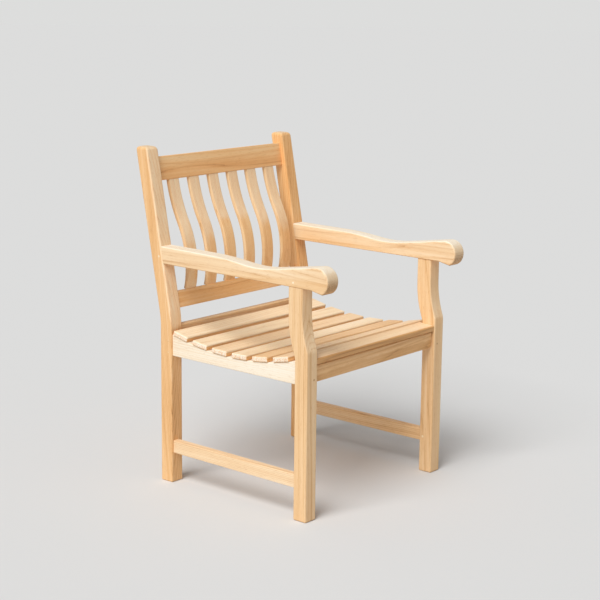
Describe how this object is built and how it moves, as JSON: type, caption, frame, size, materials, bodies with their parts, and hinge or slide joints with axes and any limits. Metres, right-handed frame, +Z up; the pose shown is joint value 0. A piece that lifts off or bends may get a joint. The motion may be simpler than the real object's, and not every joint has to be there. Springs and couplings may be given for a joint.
{
  "type": "garden armchair",
  "caption": "Slatted wooden garden armchair with a raked back of curved slats, a dished slatted seat, level arms with round noses, and pegged mortise and tenon joints",
  "frame": {"origin": "on the floor, under the middle of the whole chair's width and depth", "axes": "+Z up, the chair faces -Y, +X is on the right of someone who looks at its front"},
  "size_m": [0.61, 0.6948, 0.951],
  "materials": {
    "teak": "fine sanded and bare, straight grain along each stick",
    "teak_peg": "turned round, end grain sanded flush"
  },
  "bodies": {
    "root": {"arm_left": "teak", "arm_pegs": "teak_peg", "arm_right": "teak", "back_lower_rail": "teak", "back_rail_pegs": "teak_peg", "back_slat_1": "teak", "back_slat_2": "teak", "back_slat_3": "teak", "back_slat_4": "teak", "back_slat_5": "teak", "back_slat_6": "teak", "back_top_rail": "teak", "front_leg_left": "teak", "front_leg_right": "teak", "front_rail_pegs": "teak_peg", "front_slat_dowels": "teak_peg", "rear_leg_left": "teak", "rear_leg_right": "teak", "rear_rail_pegs": "teak_peg", "seat_front_rail": "teak", "seat_rear_rail": "teak", "seat_side_rail_left": "teak", "seat_side_rail_right": "teak", "seat_slat_1": "teak", "seat_slat_2": "teak", "seat_slat_3": "teak", "seat_slat_4": "teak", "seat_slat_5": "teak", "seat_slat_6": "teak", "seat_slat_dowels_left": "teak_peg", "seat_slat_dowels_right": "teak_peg", "seat_slat_front": "teak", "side_rail_pegs": "teak_peg", "side_stretcher_left": "teak", "side_stretcher_right": "teak", "stretcher_pegs": "teak_peg"}
  },
  "joints": []
}
